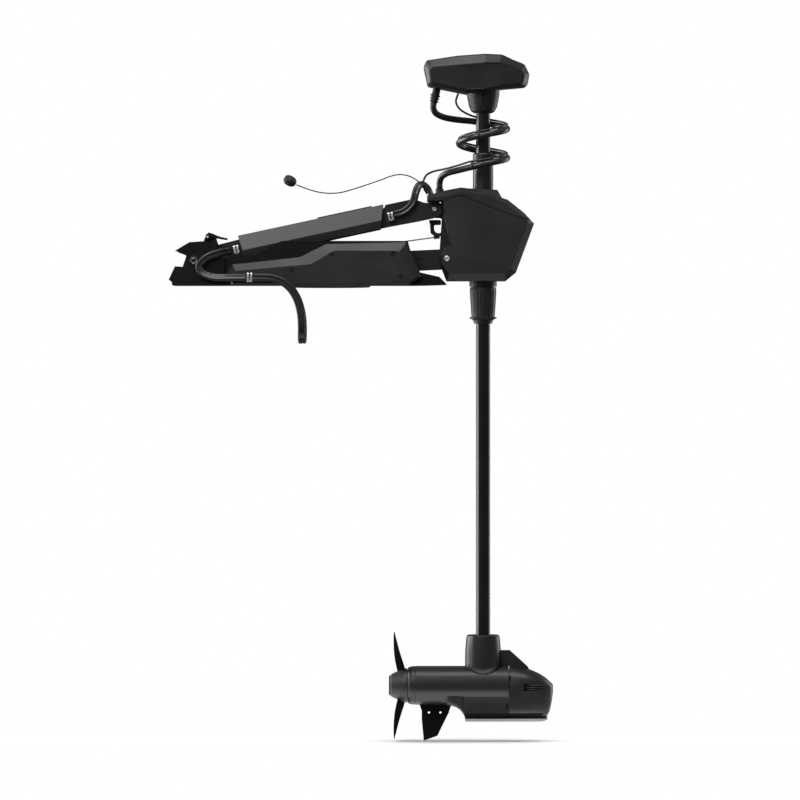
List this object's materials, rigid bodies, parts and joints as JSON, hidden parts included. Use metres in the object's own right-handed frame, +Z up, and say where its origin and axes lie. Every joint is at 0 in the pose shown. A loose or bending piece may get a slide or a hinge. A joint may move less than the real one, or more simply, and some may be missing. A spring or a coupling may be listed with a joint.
{
  "type": "trolling motor",
  "caption": "Bow-mount electric trolling motor: folding deck mount, steering housing, long shaft with coiled conduit, arrow-shaped head, and a lower unit with propeller, skeg and sonar hood.",
  "frame": {"origin": "centre of the base's underside, on the deck", "axes": "+X forward over the bow towards the shaft, +Y port, +Z up out of the deck"},
  "size_m": [0.8422, 0.3875, 1.5085],
  "materials": {
    "black_alloy": "satin",
    "cover_plastic": "satin, fine moulded grain",
    "tube_finish": "satin",
    "motor_paint": "satin powder coat",
    "arm_paint": "satin powder coat",
    "shaft_composite": "satin composite",
    "blade_composite": "satin moulded",
    "sonar_face": "smooth",
    "rubber": "matte",
    "cable_jacket": "smooth jacket",
    "stainless": "brushed",
    "winding": "enamelled winding",
    "circuit_board": "solder mask"
  },
  "bodies": {
    "base": {"base_channel": "black_alloy", "stern_bracket": "black_alloy", "side_cover_port": "cover_plastic", "side_cover_starboard": "cover_plastic", "bow_ramp": "black_alloy", "stow_axle_port": "stainless", "stow_axle_starboard": "stainless", "base_clamp": "stainless", "power_cable": "cable_jacket", "power_cable_coil": "cable_jacket", "power_cable_tail": "cable_jacket", "power_plug": "cable_jacket", "harness_rear": "cable_jacket"},
    "lock_lever": {"lock_lever": "black_alloy"},
    "upper_arm": {"upper_arm": "black_alloy", "arm_cover": "arm_paint", "arm_bumper": "rubber", "upper_link_bolt": "stainless", "arm_clamp_rear": "stainless", "arm_clamp_front": "stainless"},
    "steering_housing": {"housing_shell_port": "cover_plastic", "housing_shell_starboard": "cover_plastic", "housing_top_cover": "cover_plastic", "link_bracket": "black_alloy", "lower_link_bolt": "stainless", "bottom_flange": "cover_plastic", "steering_stator": "winding", "control_board": "circuit_board", "coil_gland": "rubber", "harness_front": "cable_jacket", "pull_cord": "cable_jacket", "pull_handle": "rubber", "release_rod": "stainless", "coil_conduit": "cable_jacket", "sensor_lead": "cable_jacket"},
    "lower_arm": {"lower_arm": "black_alloy"},
    "latch_hook": {"latch_hook": "black_alloy"},
    "power_button": {"power_button": "rubber"},
    "turn_bearings": {"bearing_lower": "stainless", "bearing_upper": "stainless"},
    "steering_column": {"steering_tube": "tube_finish", "steering_rotor": "stainless", "shaft_collet": "cover_plastic"},
    "depth_collar": {"depth_collar": "cover_plastic"},
    "shaft_assembly": {"shaft": "shaft_composite", "head_top_shell": "cover_plastic", "head_bottom_shell": "cover_plastic", "head_board": "circuit_board", "head_neck": "cover_plastic", "head_gland": "rubber", "motor_housing": "motor_paint", "motor_collar": "motor_paint", "nose_hood": "motor_paint", "sonar_transducer": "sonar_face", "skeg": "blade_composite", "motor_stator": "winding"},
    "propeller": {"propeller": "blade_composite", "prop_nut": "blade_composite", "motor_rotor": "stainless"}
  },
  "joints": [
    {"name": "stow", "type": "hinge", "parent": "base", "child": "upper_arm", "pos_m": [-0.2317, 0, 0.0532], "axis": [0, -1, 0], "range_deg": [0, 162], "deforming": ["harness_rear"]},
    {"name": "housing_tilt", "type": "hinge", "parent": "upper_arm", "child": "steering_housing", "pos_m": [0.2946, 0, 0.1665], "axis": [0, -1, 0], "range_deg": [-72.5, 0], "deforming": ["harness_front"]},
    {"name": "link_swing", "type": "hinge", "parent": "steering_housing", "child": "lower_arm", "pos_m": [0.3216, 0, 0.0576], "axis": [0, -1, 0], "range_deg": [0, 76.2]},
    {"name": "stow_turn", "type": "hinge", "parent": "steering_housing", "child": "turn_bearings", "pos_m": [0.4016, 0, 0], "axis": [0, 0, 1], "range_deg": [-90.5, 0]},
    {"name": "steer", "type": "hinge", "parent": "turn_bearings", "child": "steering_column", "pos_m": [0.4016, 0, 0], "axis": [0, 0, 1], "range_deg": [-180, 180], "deforming": ["coil_conduit", "sensor_lead"]},
    {"name": "collar_turn", "type": "hinge", "parent": "steering_column", "child": "depth_collar", "pos_m": [0.4016, 0, 0], "axis": [0, 0, 1], "range_deg": [0, 90]},
    {"name": "depth", "type": "slide", "parent": "steering_column", "child": "shaft_assembly", "axis": [0, 0, 1], "range_m": [0, 0.45]},
    {"name": "prop_spin", "type": "hinge", "parent": "shaft_assembly", "child": "propeller", "pos_m": [0.222, 0, -0.8796], "axis": [1, 0, 0], "continuous": true},
    {"name": "lever_lift", "type": "hinge", "parent": "base", "child": "lock_lever", "pos_m": [-0.2013, 0, 0.1047], "axis": [0, -1, 0], "range_deg": [0, 55]},
    {"name": "hook_release", "type": "hinge", "parent": "steering_housing", "child": "latch_hook", "pos_m": [0.303, 0, 0.137], "axis": [0, 1, 0], "range_deg": [0, 22], "stiffness_Nm_per_rad": 1.5},
    {"name": "button_press", "type": "slide", "parent": "steering_housing", "child": "power_button", "axis": [0, 1, 0], "range_m": [0, 0.001], "stiffness_N_per_m": 400}
  ],
  "couplings": [
    {"joint": "housing_tilt", "follows": "stow", "ratio": -0.44444},
    {"joint": "link_swing", "follows": "stow", "ratio": 0.4679},
    {"joint": "stow_turn", "follows": "stow", "ratio": -0.55556}
  ]
}
